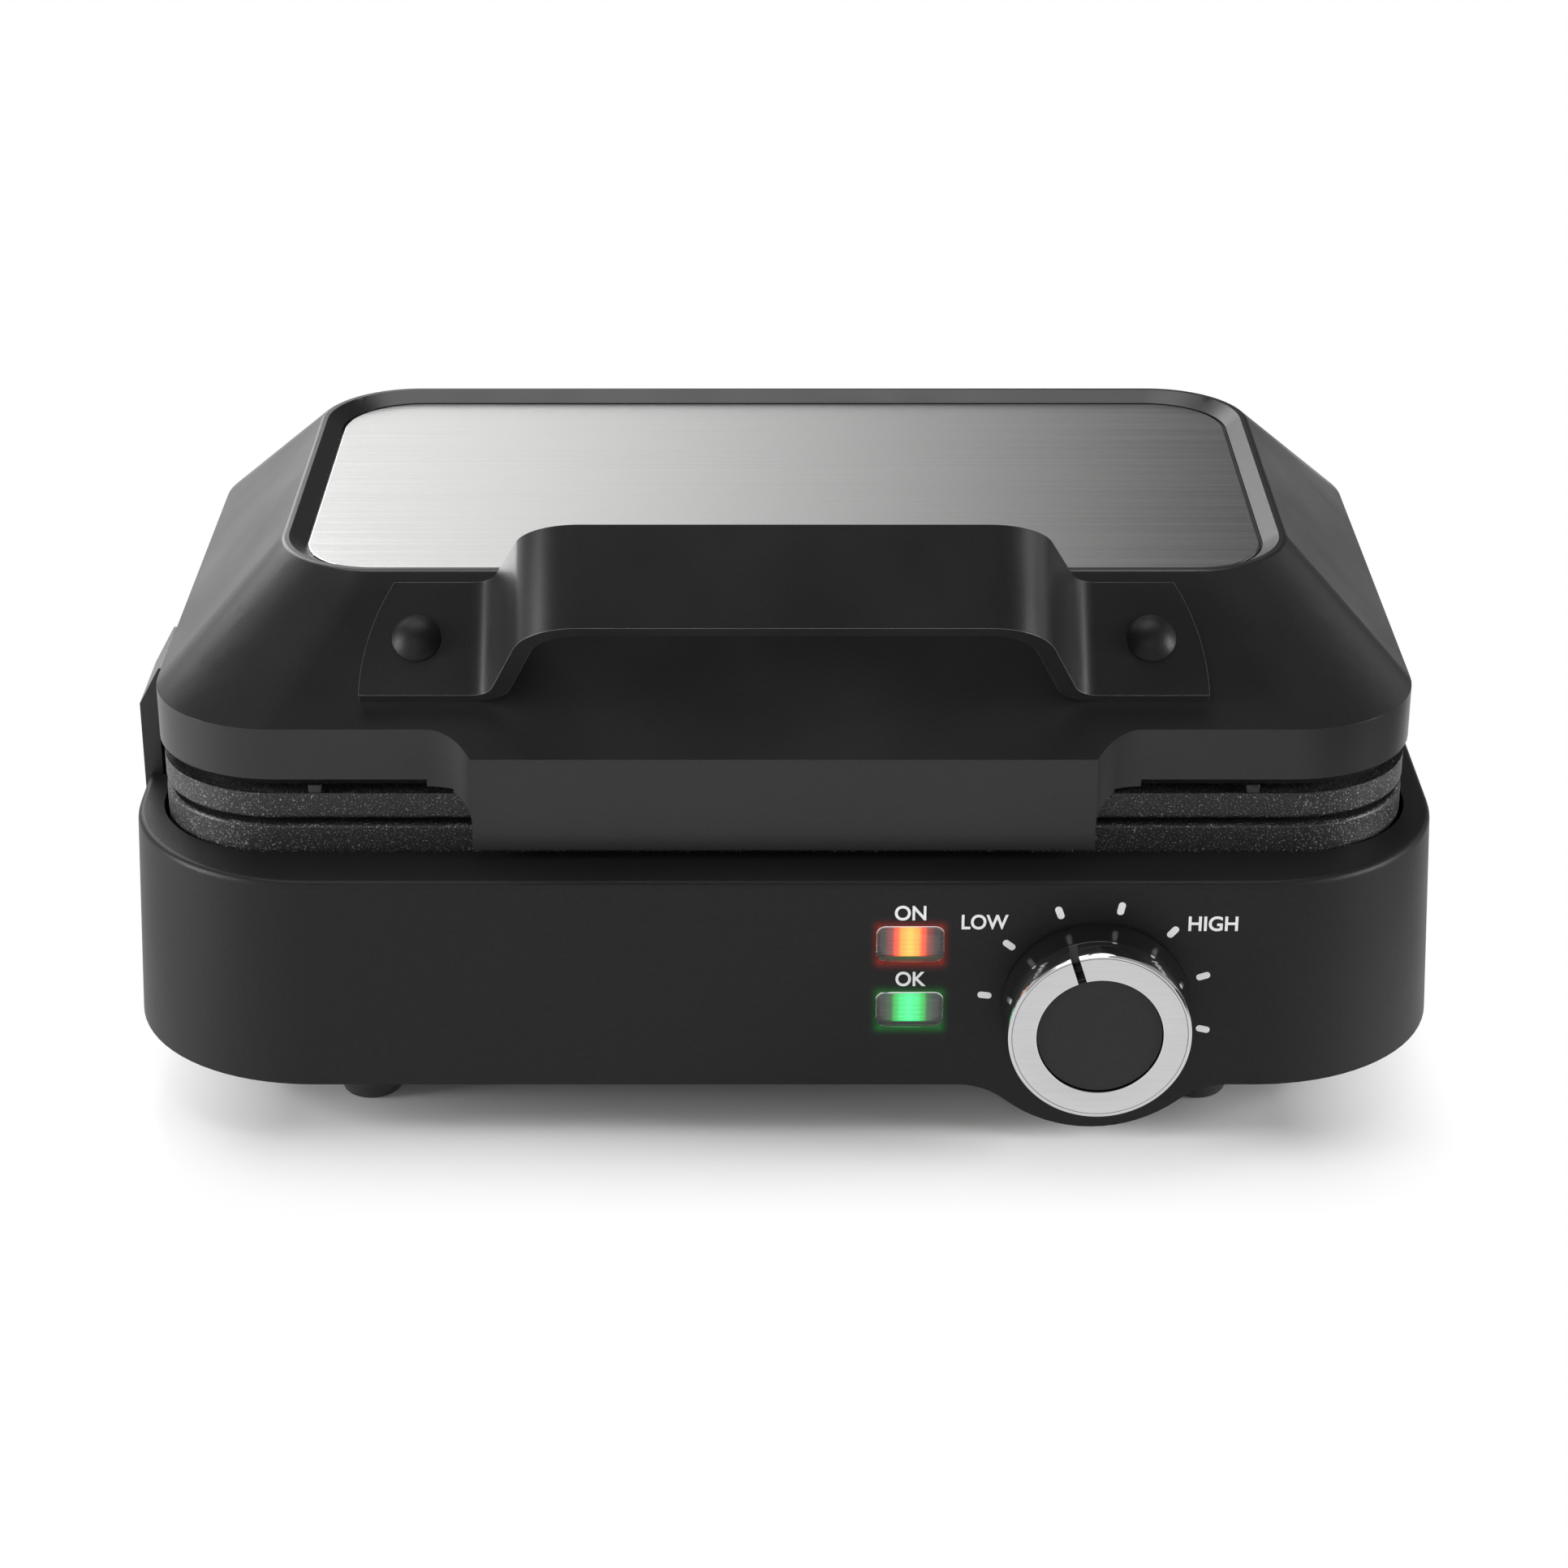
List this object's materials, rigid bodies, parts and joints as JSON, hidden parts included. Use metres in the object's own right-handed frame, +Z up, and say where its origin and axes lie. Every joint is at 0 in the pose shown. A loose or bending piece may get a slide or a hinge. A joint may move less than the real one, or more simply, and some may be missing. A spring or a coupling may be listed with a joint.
{
  "type": "waffle maker",
  "caption": "Closed electric waffle maker with a hinged sloping lid, strap handle, cast waffle plates, browning knob, lamp windows and a side latch.",
  "frame": {"origin": "on the table below the middle of the base", "axes": "+X to the right seen from the front, front faces -Y, +Z up"},
  "size_m": [0.2864, 0.225, 0.1388],
  "materials": {
    "matte_black": "fine moulded texture",
    "gloss_black": "glossy",
    "brushed_steel": "brushed along X",
    "satin_ring": "satin face, polished sides",
    "nonstick": "cast, speckled non-stick coating",
    "bright_sheet": "plain sheet",
    "heater_tube": "dull tube",
    "steel_pin": "turned",
    "foot_rubber": "matt",
    "clear_lens": "clear plastic",
    "amber_lamp": "lit amber",
    "green_lamp": "lit green",
    "white_ceramic": "matt",
    "board": "resin board"
  },
  "bodies": {
    "base": {"base_housing": "matte_black", "bottom_cover": "matte_black", "cord_gland": "matte_black", "cover_screws": "steel_pin", "foot_front_left": "foot_rubber", "foot_front_right": "foot_rubber", "foot_rear_left": "foot_rubber", "foot_rear_right": "foot_rubber", "hinge_bracket_left": "matte_black", "hinge_bracket_right": "matte_black", "hinge_pin_left": "steel_pin", "hinge_pin_right": "steel_pin", "lamp_board": "board", "latch_pin": "steel_pin", "lower_element_saddles": "bright_sheet", "lower_heating_element": "heater_tube", "lower_reflector": "bright_sheet", "lower_waffle_plate": "nonstick", "power_lamp_bulb": "amber_lamp", "power_lamp_lens": "clear_lens", "ready_lamp_bulb": "green_lamp", "ready_lamp_lens": "clear_lens", "terminal_block": "white_ceramic", "thermal_fuse": "white_ceramic", "thermostat": "white_ceramic"},
    "lid": {"lid_housing": "matte_black", "steel_panel": "brushed_steel", "handle": "matte_black", "handle_rivet_left": "matte_black", "handle_rivet_right": "matte_black", "upper_waffle_plate": "nonstick", "upper_reflector": "bright_sheet", "upper_heating_element": "heater_tube", "upper_element_saddles": "bright_sheet", "hinge_arm_left": "matte_black", "hinge_arm_right": "matte_black"},
    "knob": {"knob_body": "gloss_black", "knob_ring": "satin_ring", "knob_cap": "matte_black", "thermostat_shaft": "steel_pin"},
    "latch": {"side_latch": "matte_black"}
  },
  "joints": [
    {"name": "lid_hinge", "type": "hinge", "parent": "base", "child": "lid", "pos_m": [0, 0.091, 0.06865], "axis": [-1, 0, 0], "range_deg": [0, 100]},
    {"name": "knob_turn", "type": "hinge", "parent": "base", "child": "knob", "pos_m": [0.066, -0.099, 0.0328], "axis": [0, 1, 0], "range_deg": [-66, 121]},
    {"name": "latch_pivot", "type": "hinge", "parent": "base", "child": "latch", "pos_m": [-0.1397, -0.032, 0.057], "axis": [0, 1, 0], "range_deg": [-25, 0]}
  ]
}
